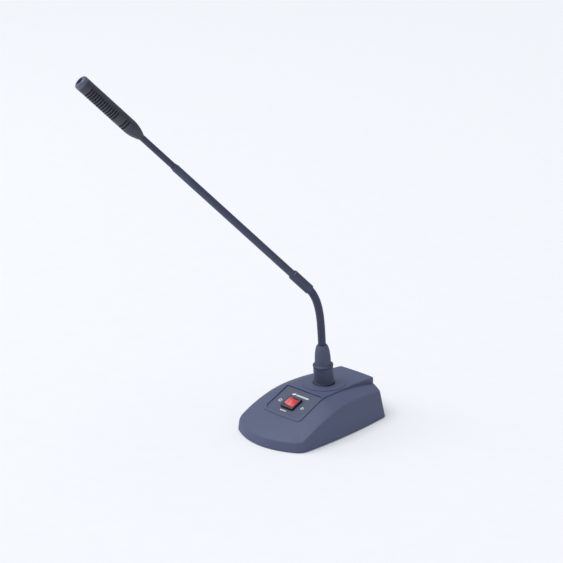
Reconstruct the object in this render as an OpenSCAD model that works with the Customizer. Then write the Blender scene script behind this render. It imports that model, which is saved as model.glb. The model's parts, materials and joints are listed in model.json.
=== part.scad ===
// Desk-stand gooseneck microphone: a weighted wedge-shaped base with a rocker switch on a sloping
// panel, and a plug-in gooseneck that carries a slim slotted capsule.
// Millimetres, +Z up, +X right, the switch faces -Y. The origin lies on the table in the middle plane
// of the base, midway between its four feet.

/* [Base] */
// Width of the base between its front corners
base_w = 84; // [82:0.5:90]
// Depth of the base between its front and rear corners
base_d = 115.5; // [113:0.5:118]
// How far the front edge bows out past the front corners
front_bow = 14.7; // [12:0.1:16]
// How far the rear edge bows out past the rear corners
rear_bow = 10; // [8:0.1:11]
// How far each side bows out at mid length
side_bow = 3; // [2:0.1:4]
// Height of the near-vertical front lip
lip_h = 8.8; // [8:0.1:9.5]
// Highest point of the side walls
side_h = 27.7; // [27:0.1:28.2]
// Height of the level deck
deck_h = 34.1; // [33.6:0.1:35]
// Wall thickness of the moulded housing
wall = 2.4; // [2:0.1:2.6]
// Gap that the feet hold under the housing
foot_gap = 1; // [0.8:0.1:2]

/* [Panel and switch] */
// Width of the recessed panel plate
panel_w = 43.2; // [42:0.2:43.6]
// Angle of the sloping panel
panel_slope = 21.9; // [21.5:0.1:22.3]
// Depth of the panel recess under its rim
panel_recess = 1; // [0.8:0.1:1.2]
// Side length of the square switch bezel
bezel_w = 15.2; // [14.6:0.1:16]
// Height of the switch bezel over the panel
bezel_h = 2.8; // [2.4:0.1:3.2]
// Full swing of the rocker between off and on
rocker_swing = 20; // [16:1:22]

/* [Socket and plug] */
// Distance of the socket behind the middle of the base
socket_y = 16.8; // [16:0.1:18]
// Forward lean of the socket
socket_tilt = 4.5; // [3:0.1:6]
// Radius of the low round plateau
disc_r = 20.6; // [20:0.1:21]
// Outer diameter of the plug shell
plug_d = 19; // [18.8:0.1:19.2]
// Visible height of the plug shell
plug_h = 19.7; // [19:0.1:21]
// Height of the tapered boot's tip over the plateau
boot_top = 39; // [38:0.1:40]

/* [Gooseneck] */
// Turn of the bending plane to the left of the front
neck_turn = 27.5; // [0:0.5:45]
// Bend of the lower flexible section as it stands
neck_bend = 40.7; // [0:0.1:60]
// Diameter of the lower flexible section
lower_flex_d = 7.5; // [7.2:0.1:7.8]
// Diameter of the rigid stem tube
stem_d = 7; // [6.8:0.1:7.2]
// Diameter of the upper flexible section
upper_flex_d = 5.6; // [5.4:0.1:5.8]
// Length of the rigid stem from the last lower hinge to the shoulder
stem_len = 183.5; // [150:0.5:220]

/* [Capsule] */
// Outer diameter of the capsule housing
capsule_d = 13; // [12.8:0.1:13.4]
// Length of the slotted capsule housing with its nose ring
capsule_len = 58.7; // [58.5:0.1:62]
// Number of sound slots in the front group
front_slots = 13; // [9:1:13]
// Spacing of the sound slots
slot_pitch = 2.58; // [2.4:0.01:2.6]
// Width of a sound slot
slot_w = 1.1; // [0.9:0.05:1.2]

/* [Hidden] */
$fn = 64;
eps = 0.01;
fit = 0.05;

// Base outline: corner positions, how far the corner curves reach, and how many points each run has
half_w = base_w / 2;
front_y = -57;
rear_y = front_y + base_d;
front_corner = 6;
rear_corner = 3;
run_pts = 9;
panel_pts = 4;
corner_pts = 4;

// Crest of the side walls, and how quickly they fall away in front of it and behind it
crest_y = 15;
fall_front = (side_h - lip_h) / pow(crest_y - front_y, 2);
fall_rear = 0.0018;
front_draft = 0.1;
side_draft = 0.22;
end_draft = 0.08;

// Deck block plan, its level part and the slope of its panel
deck_front_w = 23.9;
deck_rear_w = 21.2;
deck_front_y = -42.5;
deck_rear_y = 64.4;
deck_front_bow = 0.8;
deck_rear_bow = 0.9;
deck_corner = 4;
deck_edge = 0.5;
deck_flat_end = 25;
deck_drop = 2.05;
panel_top_y = -10;
shoulder_h = deck_h - 1.6;
shoulder_front_h = 19.6;
edge_soft = 1.8;

// Panel plate and the cut-out of the switch in it
plate_t = 1.5;
plate_len = 33.2;
plate_corner = 4.5;
panel_mid = -18.8;
switch_cut = 13;
switch_deep = 12;
rocker_l = 10.4;
rocker_w = 10.6;
pivot_h = 0.6;

// Plateau and socket
disc_t = 0.8;
barrel_r = 10.2;
barrel_deep = 22;
barrel_rim = 0.9;
plug_r = plug_d / 2;
pin_r = 1.2;
pin_circle = 5;

// Output connector at the rear
output_z = 15.5;
output_face_y = 63.2;
output_r = 10.4;
output_back_w = 34;
output_back_t = 4;

// Lower flexible section: its hinges, and how the bend is shared between them
lower_start = 43;
lower_pitch = 7.6;
lower_n = 8;
bend_share = 2.2;
share_sum = share_total(lower_n);
upper_start = 4.5;
upper_pitch = 6.6;
upper_n = 6;
ferrule_d = 9.5;
ferrule_len = 25;
ferrule_gap = 2;
stem_wall = 0.8;
shoulder_len = 3.6;
tail_len = 15;
tail_gap = 2.2;
lower_gap = 0.7;
lower_bevel = 0.5;
upper_gap = 0.4;
upper_bevel = 0.35;

function share_total(n) = n == 0 ? 0 : pow(n, bend_share) + share_total(n - 1);
function hinge_bend(i) = neck_bend * pow(i, bend_share) / share_sum;

// ---------- outlines of the base ----------
function bez(a, c, b, t) = a * pow(1 - t, 2) + 2 * c * t * (1 - t) + b * t * t;
function bow(x, half, depth) = depth * (1 - pow(x / half, 2));

// Right half of a plan outline from the middle of the front to the middle of the rear. Its side has a
// point level with the top of the panel.
function half_outline(wf, wr, yf, yr, bf, br, bs, cf, cr) = concat(
    [for (i = [0 : run_pts]) let (x = (wf - cf) * i / run_pts) [x, yf - bow(x, wf, bf)]],
    [for (i = [1 : corner_pts])
        bez([wf - cf, yf - bow(wf - cf, wf, bf)], [wf, yf],
            side_point(yf + cf, wf, wr, yf, yr, bs), i / corner_pts)],
    [for (i = [1 : panel_pts])
        side_point(yf + cf + (panel_top_y - yf - cf) * i / panel_pts, wf, wr, yf, yr, bs)],
    [for (i = [1 : run_pts])
        side_point(panel_top_y + (yr - cr - panel_top_y) * i / run_pts, wf, wr, yf, yr, bs)],
    [for (i = [1 : corner_pts])
        bez(side_point(yr - cr, wf, wr, yf, yr, bs), [wr, yr],
            [wr - cr, yr + bow(wr - cr, wr, br)], i / corner_pts)],
    [for (i = [1 : run_pts]) let (x = (wr - cr) * (1 - i / run_pts)) [x, yr + bow(x, wr, br)]]);
function side_point(y, wf, wr, yf, yr, bs) = let (t = (y - yf) / (yr - yf))
    [wf + (wr - wf) * t + bs * (1 - pow(2 * t - 1, 2)), y];
function mirrored(half) = concat(half,
    [for (i = [len(half) - 2 : -1 : 1]) [-half[i].x, half[i].y]]);

// Plans of the base and of its deck block, drawn in by t
function base_plan(t) = mirrored(half_outline(half_w - t, half_w - t, front_y + t, rear_y - t,
    front_bow, rear_bow, side_bow, front_corner, rear_corner));
function deck_plan(t) = mirrored(half_outline(deck_front_w - t, deck_rear_w - t, deck_front_y + t,
    deck_rear_y - t, deck_front_bow, deck_rear_bow, 0, deck_corner, deck_corner / 2));
ring_n = len(base_plan(0));

// ---------- heights of the base ----------
function side_top(y) = y < front_y ? lip_h
    : y < crest_y ? side_h - fall_front * pow(y - crest_y, 2)
    : side_h - fall_rear * pow(min(y, rear_y) - crest_y, 2);
function draft(y) = y < crest_y
    ? front_draft + (side_draft - front_draft) * (y - front_y) / (crest_y - front_y) : side_draft;
function leaning(p, z) = [p.x * (1 - draft(p.y) * z / half_w), p.y * (1 - end_draft * z / rear_y), z];
function soft_min(a, b, k) = (a + b - sqrt(pow(a - b, 2) + k * k)) / 2;
function shoulder_in(y) = soft_min(shoulder_h - 0.00195 * pow(max(y - 5, 0), 2),
    shoulder_front_h + tan(panel_slope) * (y - deck_front_y), 1.2);
function deck_top(y) = y < panel_top_y ? deck_h + tan(panel_slope) * (y - panel_top_y)
    : deck_h - deck_drop * pow(max(y - deck_flat_end, 0) / (deck_rear_y - deck_flat_end), 2);

// Rings of the housing, drawn in by t for its inside: up the wall, over the soft edge, in along the
// shoulder, and up the side of the deck
function wall_ring(t, k) = [for (p = base_plan(t)) leaning(p, (side_top(p.y) - edge_soft - t) * k)];
function edge_tops(t) = [for (p = base_plan(t)) leaning(p, side_top(p.y) - t)];
function shoulder_ends(t) = [for (p = deck_plan(t)) [p.x, p.y, shoulder_in(p.y) - t]];
function edge_ends(t) = let (c = edge_tops(t), e = shoulder_ends(t)) [for (i = [0 : ring_n - 1])
    let (d = e[i] - c[i]) c[i] + d * min(edge_soft * 1.3 / norm(d), 0.6)];
function edge_ring(t, k) = let (a = wall_ring(t, 1), c = edge_tops(t), b = edge_ends(t))
    [for (i = [0 : ring_n - 1]) bez(a[i], c[i], b[i], k)];
function shoulder_ring(t, k) = let (a = edge_ends(t), b = shoulder_ends(t))
    [for (i = [0 : ring_n - 1]) let (run = norm([b[i].x - a[i].x, b[i].y - a[i].y]))
        a[i] + (b[i] - a[i]) * k + [0, 0, min(2, run / 4) * k * (1 - k)]];
function deck_ring(t, lower) = [for (p = deck_plan(t)) [p.x, p.y, deck_top(p.y) - lower]];

// Solid between stacked rings. The last ring is closed by strips from side to side.
module ring_solid(rings) {
    n = len(rings[0]);
    last = (len(rings) - 1) * n;
    side = [for (j = [0 : len(rings) - 2]) for (i = [0 : n - 1])
        let (a = j * n + i, b = j * n + (i + 1) % n) each [[a, a + n, b], [b, a + n, b + n]]];
    top = [for (i = [1 : n / 2 - 2]) each [[last + i + 1, last + i, last + n - i],
        [last + n - i - 1, last + i + 1, last + n - i]]];
    ends = [[last + 1, last, last + n - 1], [last + n / 2, last + n / 2 - 1, last + n / 2 + 1]];
    bottom = [for (i = [1 : n / 2 - 2]) each [[i, i + 1, n - i], [i + 1, n - i - 1, n - i]]];
    caps = [[0, 1, n - 1], [n / 2 - 1, n / 2, n / 2 + 1]];
    polyhedron(points = [for (r = rings) each r], faces = concat(side, top, ends, bottom, caps),
        convexity = 6);
}

module housing_outside() ring_solid([wall_ring(0, 0), wall_ring(0, 0.5), edge_ring(0, 0),
    edge_ring(0, 1 / 3), edge_ring(0, 2 / 3), edge_ring(0, 1), shoulder_ring(0, 0.5),
    shoulder_ring(0, 1), deck_ring(0, deck_edge), deck_ring(deck_edge, 0)]);
module housing_inside() ring_solid([[for (p = base_plan(wall)) [p.x, p.y, -1]],
    edge_ring(wall, 0), edge_ring(wall, 0.5), edge_ring(wall, 1), shoulder_ring(wall, 1),
    deck_ring(wall + 0.3, wall + panel_recess + 0.8)]);

// ---------- frames ----------
module lift() translate([0, 0, foot_gap]) children();
// Panel: origin at the top rear edge of the plate, +Y up the slope, +Z out of the panel
module at_panel() lift() translate([0, panel_top_y, deck_h]) rotate([panel_slope, 0, 0])
    translate([0, 0, -panel_recess]) children();
module at_switch() at_panel() translate([0, panel_mid, 0]) children();
module at_socket() lift() translate([0, socket_y, deck_h + disc_t]) rotate([socket_tilt, 0, 0])
    children();
module at_neck() at_socket() rotate([0, 0, -neck_turn]) children();
module at_lower(i) at_neck() translate([0, 0, lower_start]) lower_step(i) children();
module lower_step(i) {
    if (i == 1) rotate([hinge_bend(1), 0, 0]) children();
    else lower_step(i - 1) translate([0, 0, lower_pitch]) rotate([hinge_bend(i), 0, 0]) children();
}
// Stem: origin at the last lower hinge, +Z along the stem
module at_stem() at_lower(lower_n) children();
module at_shoulder() at_stem() translate([0, 0, stem_len]) children();
module at_capsule() at_shoulder()
    translate([0, 0, upper_start + upper_pitch * (upper_n - 1) + tail_gap]) children();
module at_output() lift() translate([0, output_face_y, output_z]) rotate([-90, 0, 0]) children();

// ---------- base ----------
screw_spots = [for (x = [-30, 30], y = [-44, 44]) [x, y]];
foot_spots = [for (x = [-31, 31], y = [-52, 52]) [x, y]];

module base_housing() color("slategray") lift() {
    difference() {
        union() {
            difference() {
                housing_outside();
                housing_inside();
            }
            for (p = screw_spots) translate([p.x, p.y, 2.2]) cylinder(r = 3.4, h = p.y < 0 ? 13 : 23);
            // backing wall of the output connector
            translate([-output_back_w / 2, output_face_y - output_back_t, 2.6])
                cube([output_back_w, output_back_t + 1, 26.4]);
        }
        // recess and window for the panel plate
        translate([0, panel_top_y, deck_h]) rotate([panel_slope, 0, 0]) {
            translate([0, 0, -panel_recess - plate_t]) linear_extrude(8) panel_shape(0.2);
            translate([-panel_w / 2 + 2, -plate_len + 2, -9]) cube([panel_w - 4, plate_len - 5, 9]);
        }
        // hole for the socket barrel
        translate([0, socket_y, deck_h]) rotate([socket_tilt, 0, 0])
            translate([0, 0, -10]) cylinder(r = barrel_r + 0.3, h = 20);
        // seat and hole for the output connector
        translate([0, output_face_y, output_z]) rotate([-90, 0, 0]) {
            cylinder(r = 13.4, h = 12);
            translate([0, 0, -12]) cylinder(r = output_r + 0.2, h = 24);
            for (s = [-1, 1]) translate([s * 11.9, 0, -12]) cylinder(r = 0.9, h = 14, $fn = 24);
        }
        for (p = screw_spots) translate([p.x, p.y, 0]) cylinder(r = 1.25, h = 12, $fn = 24);
    }
}

module deck_disc() color("slategray") lift() translate([0, socket_y, deck_h + fit]) difference() {
    rotate_extrude($fn = 96) polygon(concat([[0, 0], [disc_r, 0]],
        [for (k = [0 : 4]) let (a = 90 * k / 4)
            [disc_r - 0.6 + 0.6 * cos(a), disc_t - 0.6 + 0.6 * sin(a)]], [[0, disc_t]]));
    rotate([socket_tilt, 0, 0]) translate([0, 0, -5]) cylinder(r = barrel_r + 0.15, h = 10);
}

// Plan of the panel, rounded at its front corners
module panel_shape(grow) hull() {
    translate([-panel_w / 2 - grow, -plate_len / 2]) square([panel_w + 2 * grow, plate_len / 2 + grow]);
    for (s = [-1, 1]) translate([s * (panel_w / 2 - plate_corner), plate_corner - plate_len])
        circle(r = plate_corner + grow);
}

module panel_plate() color("slategray") at_panel() difference() {
    translate([0, 0, -plate_t + fit]) linear_extrude(plate_t - fit) panel_shape(0);
    translate([-switch_cut / 2, panel_mid - switch_cut / 2, -5]) cube([switch_cut, switch_cut, 10]);
}

// Printed marks: a rule behind the switch, a short one in front, a ring for off and a bar for on
mark_t = 0.12;
module panel_marks() color("white") at_panel() {
    translate([-8.7, panel_mid + 10.9, 0]) cube([17.5, 1.8, mark_t]);
    translate([-5.6, panel_mid - 11.2, 0]) cube([7.6, 1.5, mark_t]);
    translate([-14.4, panel_mid - 0.6, 0]) difference() {
        cylinder(r = 1.9, h = mark_t, $fn = 32);
        translate([0, 0, -1]) cylinder(r = 1.1, h = 2, $fn = 32);
    }
    translate([13.4, panel_mid - 2.4, 0]) cube([1, 3.8, mark_t]);
}

module switch_housing() color("black") at_switch() difference() {
    union() {
        translate([-bezel_w / 2, -bezel_w / 2, fit]) cube([bezel_w, bezel_w, bezel_h - fit]);
        translate([-switch_cut / 2 + 0.1, -switch_cut / 2 + 0.1, -switch_deep])
            cube([switch_cut - 0.2, switch_cut - 0.2, switch_deep + 1]);
    }
    translate([-rocker_l / 2 - 0.35, -rocker_w / 2 - 0.35, -switch_deep + 1.5])
        cube([rocker_l + 0.7, rocker_w + 0.7, 30]);
    translate([0, 0, pivot_h]) rotate([90, 0, 0])
        cylinder(r = 0.85, h = rocker_w + 1.8, center = true, $fn = 24);
    for (s = [-1, 1]) translate([s * 3.6 - 0.6, -2.1, -switch_deep - 1]) cube([1.2, 4.2, 5]);
    translate([-0.6, -2.1, -switch_deep - 1]) cube([1.2, 4.2, 5]);
}

// Rocker: shallow V top, tipped so that its left half stands proud
module switch_rocker() color("red") at_switch() translate([0, 0, pivot_h])
    rotate([0, rocker_swing / 2, 0]) difference() {
        union() {
            rotate([90, 0, 0]) translate([0, 0, -rocker_w / 2]) linear_extrude(rocker_w) intersection() {
                polygon([[0, bezel_h - pivot_h - 0.2], [rocker_l / 2, bezel_h - pivot_h + 0.7],
                    [rocker_l / 2, -1.2], [3.2, -2.6], [-3.2, -2.6], [-rocker_l / 2, -1.2],
                    [-rocker_l / 2, bezel_h - pivot_h + 0.7]]);
                circle(r = rocker_l / 2 - 0.02, $fn = 96);
            }
            rotate([90, 0, 0]) cylinder(r = 0.8, h = rocker_w + 1.4, center = true, $fn = 24);
        }
        translate([0, 0, -4]) cylinder(r = 1.1, h = 3.4, $fn = 24);
    }

module switch_contacts() color("gold") at_switch() {
    for (x = [-3.6, 0, 3.6]) translate([x - 0.4, -1.9, -switch_deep - 5]) cube([0.8, 3.8, 5.8]);
    for (s = [-1, 1]) translate([s * 3.6, 0, -switch_deep + 1.55]) cylinder(r = 1, h = 0.75, $fn = 24);
    translate([-0.5, -0.8, -switch_deep + 0.8]) cube([1, 1.6, 3.2]);
}

// See-saw contact that the rocker tips over its middle post
module switch_lever() color("silver") at_switch() translate([0, 0, -switch_deep + 4.4])
    rotate([0, -9, 0]) {
        translate([-4.2, -1.2, 0]) cube([8.4, 2.4, 0.5]);
        for (s = [-1, 1]) translate([s * 3.6, 0, -0.35]) cylinder(r = 0.8, h = 0.4, $fn = 24);
    }

board_y = 37;
board_z = 6.2;
board_t = 1.6;
module circuit_board() color("darkgreen") lift() difference() {
    translate([-26, board_y - 7.5, board_z]) cube([52, 15, board_t]);
    for (x = [-22, 22]) translate([x, board_y, board_z - 1]) cylinder(r = 1.3, h = 4, $fn = 24);
}

// A row of capacitors, an amplifier chip, six resistors and the connector of the switch leads
module board_parts() color("dimgray") lift() translate([0, board_y, board_z + board_t + fit]) {
    for (i = [0 : 4]) translate([-17 + 6 * i, -1.5, 0]) cylinder(r = 1.9, h = 5.5, $fn = 24);
    translate([-13, 2.3, 0]) cube([7.5, 4, 1.6]);
    for (i = [0 : 5]) translate([-3 + 1.4 * i, 1.4, 0]) cube([0.7, 1.4, 0.6]);
    translate([10, -6.5, 0]) cube([7.5, 5.5, 4.5]);
}

module board_screws() color("silver") lift() for (x = [-22, 22]) translate([x, board_y, 0]) {
    translate([0, 0, board_z + board_t + fit]) cylinder(r = 2.2, h = 1.3, $fn = 32);
    translate([0, 0, 2.1]) cylinder(r = 1.2, h = board_z, $fn = 24);
    difference() {
        translate([0, 0, 2.1]) cylinder(r = 2.6, h = board_z - 2.2, $fn = 32);
        translate([0, 0, 2]) cylinder(r = 1.2, h = board_z, $fn = 24);
    }
}

plate_gap = 0.65;
module bottom_plate() color("dimgray") lift() difference() {
    translate([0, 0, 0.4]) linear_extrude(1.6) polygon(base_plan(wall + plate_gap));
    for (p = screw_spots) translate([p.x, p.y, -1]) cylinder(r = 1.7, h = 5, $fn = 24);
    for (p = screw_spots) translate([p.x, p.y, 0.3]) cylinder(r1 = 3, r2 = 1.7, h = 1.3, $fn = 32);
    for (p = foot_spots) translate([p.x, p.y, 0]) cylinder(r = 2.05, h = 5, $fn = 24);
}

// Two steel blocks fixed to the bottom plate, either side of the socket and the switch
module ballast_weights() color("gray") lift() for (s = [-1, 1])
    translate([s * 24.5 - 9.5, -34, 2.1]) difference() {
        cube([19, 62, 13]);
        translate([9.5 - s * 2.2, 12, -1]) cylinder(r = 2.2, h = 20, $fn = 32);
        translate([9.5 - s * 2.2, 50, -1]) cylinder(r = 2.2, h = 20, $fn = 32);
    }

module plate_screws() color("silver") lift() for (p = screw_spots) translate([p.x, p.y, 0])
    difference() {
        union() {
            translate([0, 0, 0.45]) cylinder(r1 = 2.8, r2 = 1.2, h = 1.4, $fn = 32);
            translate([0, 0, 1.8]) cylinder(r = 1.2, h = 9, $fn = 24);
        }
        for (a = [0, 90]) rotate([0, 0, a]) translate([-1.5, -0.3, 0]) cube([3, 0.6, 1]);
    }

module rubber_feet() color("black") for (p = foot_spots) translate([p.x, p.y, 0])
    rotate_extrude($fn = 48) polygon([[0, 0], [4.6, 0], [5, 0.5], [5, foot_gap + 0.35],
        [2, foot_gap + 0.35], [2, foot_gap + 2.6], [0, foot_gap + 2.6]]);

// ---------- output connector ----------
module output_shell() color("silver") at_output() difference() {
    union() {
        translate([0, 0, fit]) cylinder(r = 13.2, h = 1.8 - fit, $fn = 96);
        translate([0, 0, -16]) cylinder(r = output_r, h = 17);
    }
    translate([0, 0, -12.5]) cylinder(r = 8.2, h = 20);
    translate([0, 0, -17]) cylinder(r = 7.4, h = 10);
    for (s = [-1, 1]) translate([s * 11.9, 0, -3]) cylinder(r = 1.1, h = 8, $fn = 24);
    for (s = [-1, 1]) translate([s * 11.9, 0, 0.9]) cylinder(r1 = 1.1, r2 = 1.25, h = 1, $fn = 24);
}

module output_insert() color("black") at_output() difference() {
    translate([0, 0, -12.45]) cylinder(r = 8.15, h = 2.4);
    translate([0, 0, -13]) pin_spots() cylinder(r = pin_r, h = 6, $fn = 24);
}

module output_pins() color("silver") at_output() pin_spots() {
    translate([0, 0, -18]) cylinder(r = pin_r, h = 16, $fn = 24);
    translate([0, 0, -2]) cylinder(r1 = pin_r, r2 = 0.7, h = 0.8, $fn = 24);
}

module pin_spots() for (a = [90, 210, 330]) rotate([0, 0, a]) translate([pin_circle, 0, 0]) children();

module output_screws() color("silver") at_output() for (s = [-1, 1]) translate([s * 11.9, 0, 0]) {
    translate([0, 0, -6]) cylinder(r = 0.85, h = 7, $fn = 24);
    translate([0, 0, 0.95]) cylinder(r = 1.05, h = 0.8, $fn = 24);
}

// ---------- socket in the base ----------
module socket_barrel() color("dimgray") at_socket() difference() {
    union() {
        translate([0, 0, -barrel_deep]) cylinder(r = barrel_r, h = barrel_deep + barrel_rim - 0.4);
        translate([0, 0, barrel_rim - 0.4]) cylinder(r1 = barrel_r, r2 = barrel_r - 0.4, h = 0.4);
    }
    translate([0, 0, -barrel_deep + 4]) cylinder(r = plug_r - 0.15, h = 40);
    translate([0, 0, -barrel_deep - 1]) cylinder(r = 7.4, h = 10);
}

module socket_nut() color("silver") at_socket() translate([0, 0, -8.4]) difference() {
    cylinder(r = 13, h = 2.4, $fn = 6);
    translate([0, 0, -1]) cylinder(r = barrel_r + fit, h = 6);
}

module socket_insert() color("black") at_socket() difference() {
    union() {
        translate([0, 0, -barrel_deep + 4.05]) cylinder(r = 7.75, h = 14.5);
        translate([0, 0, -barrel_deep + 4.05]) cylinder(r = 9.2, h = 1.6);
    }
    pin_spots() translate([0, 0, -barrel_deep]) cylinder(r = 1.75, h = 30, $fn = 24);
}

module socket_contacts() color("gold") at_socket() pin_spots() difference() {
    translate([0, 0, -barrel_deep - 2]) cylinder(r = 1.7, h = 17, $fn = 24);
    translate([0, 0, -barrel_deep + 4]) cylinder(r = pin_r + 0.15, h = 17, $fn = 24);
}

// Leads from the board to the switch, the socket and the output connector
lead_gap = 0.65;
function switch_point(p) = let (y = panel_mid + p.y, z = p.z - panel_recess)
    [p.x, panel_top_y + y * cos(panel_slope) - z * sin(panel_slope),
     deck_h + y * sin(panel_slope) + z * cos(panel_slope)];
function socket_point(p) = [p.x, socket_y + p.y * cos(socket_tilt) - p.z * sin(socket_tilt),
    deck_h + disc_t + p.y * sin(socket_tilt) + p.z * cos(socket_tilt)];
function output_point(p) = [p.x, output_face_y + p.z, output_z - p.y];
function hanging(a, b, sag, n) = [for (k = [0 : n]) let (t = k / n)
    a + (b - a) * t - [0, 0, sag * 4 * t * (1 - t)]];
module lead(a, b, r) let (d = b - a) translate(a) rotate([0, acos(d.z / norm(d)), atan2(d.y, d.x)])
    cylinder(r = r, h = norm(d), $fn = 16);
module hanging_lead(pts, r) {
    for (k = [0 : len(pts) - 2]) lead(pts[k], pts[k + 1], r);
    for (k = [1 : len(pts) - 2]) translate(pts[k]) sphere(r = r * 1.08, $fn = 16);
}
module wire_harness() color("firebrick") lift() {
    for (s = [-1, 1]) hanging_lead(hanging(switch_point([3.6 * s, 0, -switch_deep - 5 - lead_gap]),
        [12.5 + s, board_y - 6.7, board_z + 3.8], 2.4, 4), 0.5);
    for (a = [90, 210, 330]) let (x = pin_circle * cos(a), y = pin_circle * sin(a)) {
        lead(socket_point([x, y, -barrel_deep - 2 - lead_gap]),
            [1.15 * x - 3, board_y - 6, board_z + board_t + lead_gap], 0.5);
        lead(output_point([x, y, -18 - lead_gap]),
            [0.85 * x + 1.4, board_y + 4.6, board_z + board_t + lead_gap], 0.5);
    }
}

// ---------- plug ----------
module plug_shell() color("slategray") at_socket() difference() {
    rotate_extrude($fn = 96) polygon([
        [8.05, -14], [plug_r - 0.3, -14], [plug_r - 0.3, barrel_rim + 0.1],
        [plug_r + 0.6, barrel_rim + 0.1], [plug_r + 0.6, barrel_rim + 0.6],
        [plug_r + 0.15, barrel_rim + 1.3], [plug_r - 0.1, barrel_rim + 2.4], [plug_r - 0.1, 16.7],
        [plug_r - 0.5, 16.9], [plug_r - 0.5, 17.4], [plug_r + 0.25, 17.6],
        [plug_r + 0.25, plug_h - 1], [plug_r - 1, plug_h],
        [7.85, plug_h], [7.85, 17], [6.6, 17], [6.6, 7], [8.05, 6.8]]);
    translate([0, plug_r, -7]) cube([3.4, 4, 8], center = true);
}

module plug_insert() color("black") at_socket() difference() {
    translate([0, 0, -1.4]) cylinder(r = 8, h = 8);
    pin_spots() translate([0, 0, -5]) cylinder(r = pin_r + 0.02, h = 20, $fn = 24);
}

module plug_pins() color("silver") at_socket() pin_spots() {
    translate([0, 0, -12.5]) cylinder(r = pin_r, h = 20.5, $fn = 24);
    translate([0, 0, -13.3]) cylinder(r1 = 0.7, r2 = pin_r, h = 0.8, $fn = 24);
}

module plug_chuck() color("black") at_socket() translate([0, 0, 8.6]) difference() {
    cylinder(r = 6.5, h = 8.2);
    translate([0, 0, -1]) cylinder(r = lower_flex_d / 2 + 0.02, h = 12);
    for (a = [0 : 90 : 270]) rotate([0, 0, a]) translate([4.2, -0.4, 2]) cube([4, 0.8, 10]);
}

module plug_boot() color("slategray") at_socket() rotate_extrude($fn = 96) polygon(concat(
    [[lower_flex_d / 2 + 0.05, 17.05], [7.8, 17.05], [7.8, plug_h - 0.2], [7.55, plug_h + 0.2]],
    [for (k = [0 : 10]) let (u = k / 10, z = plug_h + 1.5 + (boot_top - 0.6 - plug_h - 1.5) * u)
        [4.7 + 2.9 * pow(1 - u * u, 0.6), z]],
    [[4.4, boot_top], [lower_flex_d / 2 + 0.05, boot_top]]));

// ---------- gooseneck ----------
// Bead of a flexible section between two hinges, with bevelled ends so that neighbours can tilt
module bead(d, from, to, bevel) {
    r = d / 2;
    inner = r * 0.62;
    rotate_extrude($fn = 48) polygon([[0, from], [inner, from], [r, from + bevel],
        [r, to - bevel], [inner, to], [0, to]]);
}
module lower_link(i) color("darkslategray") at_lower(i)
    bead(lower_flex_d, lower_gap, lower_pitch - lower_gap, lower_bevel);
module upper_link(i) color("darkslategray") at_shoulder()
    translate([0, 0, upper_start + upper_pitch * (i - 1)])
        bead(upper_flex_d, upper_gap, upper_pitch - upper_gap, upper_bevel);

module lower_flex_root() color("darkslategray") at_neck()
    bead(lower_flex_d, 8.8, lower_start - lower_gap, lower_bevel);
module lower_flex_end() color("darkslategray") at_stem() bead(lower_flex_d, lower_gap, 14, lower_bevel);

module lower_ferrule() color("slategray") at_stem() translate([0, 0, ferrule_gap]) difference() {
    rotate_extrude($fn = 64) polygon(concat(
        [[0, 0], [ferrule_d / 2 - 0.4, 0], [ferrule_d / 2, 0.5]],
        [for (k = [0 : 5]) let (a = 90 * k / 5)
            [ferrule_d / 2 - 1.1 + 1.1 * cos(a), ferrule_len - 2 + 2 * sin(a)]],
        [[0, ferrule_len]]));
    translate([0, 0, -1]) cylinder(r = lower_flex_d / 2 + 0.02, h = 13.2);
    translate([0, 0, 12]) cylinder(r = stem_d / 2 + 0.02, h = 20);
}

module stem_tube() color("darkslategray") at_stem() difference() {
    translate([0, 0, 14.4]) cylinder(r = stem_d / 2, h = stem_len - 14.4 - shoulder_len - 4);
    cylinder(r = stem_d / 2 - stem_wall, h = stem_len);
}

module stem_cable() color("black") at_stem() translate([0, 0, 14.1])
    cylinder(r = 1.9, h = stem_len - 14.1 - shoulder_len - 5, $fn = 32);

module upper_ferrule() color("darkslategray") at_shoulder() difference() {
    rotate_extrude($fn = 64) polygon([[0, -shoulder_len - 3.9], [stem_d / 2, -shoulder_len - 3.9],
        [stem_d / 2, -0.6 - shoulder_len], [stem_d / 2 + 0.15, -shoulder_len],
        [upper_flex_d / 2 + 0.1, 0], [0, 0]]);
    translate([0, 0, -20]) cylinder(r = upper_flex_d / 2 + 0.02, h = 40);
}

module upper_flex_root() color("darkslategray") at_shoulder()
    bead(upper_flex_d, -shoulder_len - 3.9, upper_start - upper_gap, upper_bevel);
module upper_flex_end() color("darkslategray") at_capsule()
    bead(upper_flex_d, upper_gap - tail_gap, 6, upper_bevel);

// ---------- capsule ----------
liner_r = capsule_d / 2 - 0.8;
module capsule_tail() color("slategray") at_capsule() difference() {
    rotate_extrude($fn = 96) polygon(concat(
        [[0, 0], [upper_flex_d / 2 + 0.25, 0], [upper_flex_d / 2 + 0.4, 0.4]],
        [for (k = [1 : 8]) let (u = k / 8)
            [upper_flex_d / 2 + 0.4 + (capsule_d / 2 - upper_flex_d / 2 - 0.4) * sin(90 * pow(u, 0.9)),
             0.4 + (tail_len - 0.4) * u]],
        [[liner_r - 0.3, tail_len], [liner_r - 0.3, tail_len + 3], [0, tail_len + 3]]));
    translate([0, 0, -1]) cylinder(r = upper_flex_d / 2 + 0.02, h = 7.1);
    translate([0, 0, 6]) cylinder(r1 = 1.6, r2 = 4.2, h = tail_len - 6);
    translate([0, 0, tail_len - eps]) cylinder(r = 4.2, h = 10);
}

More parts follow.
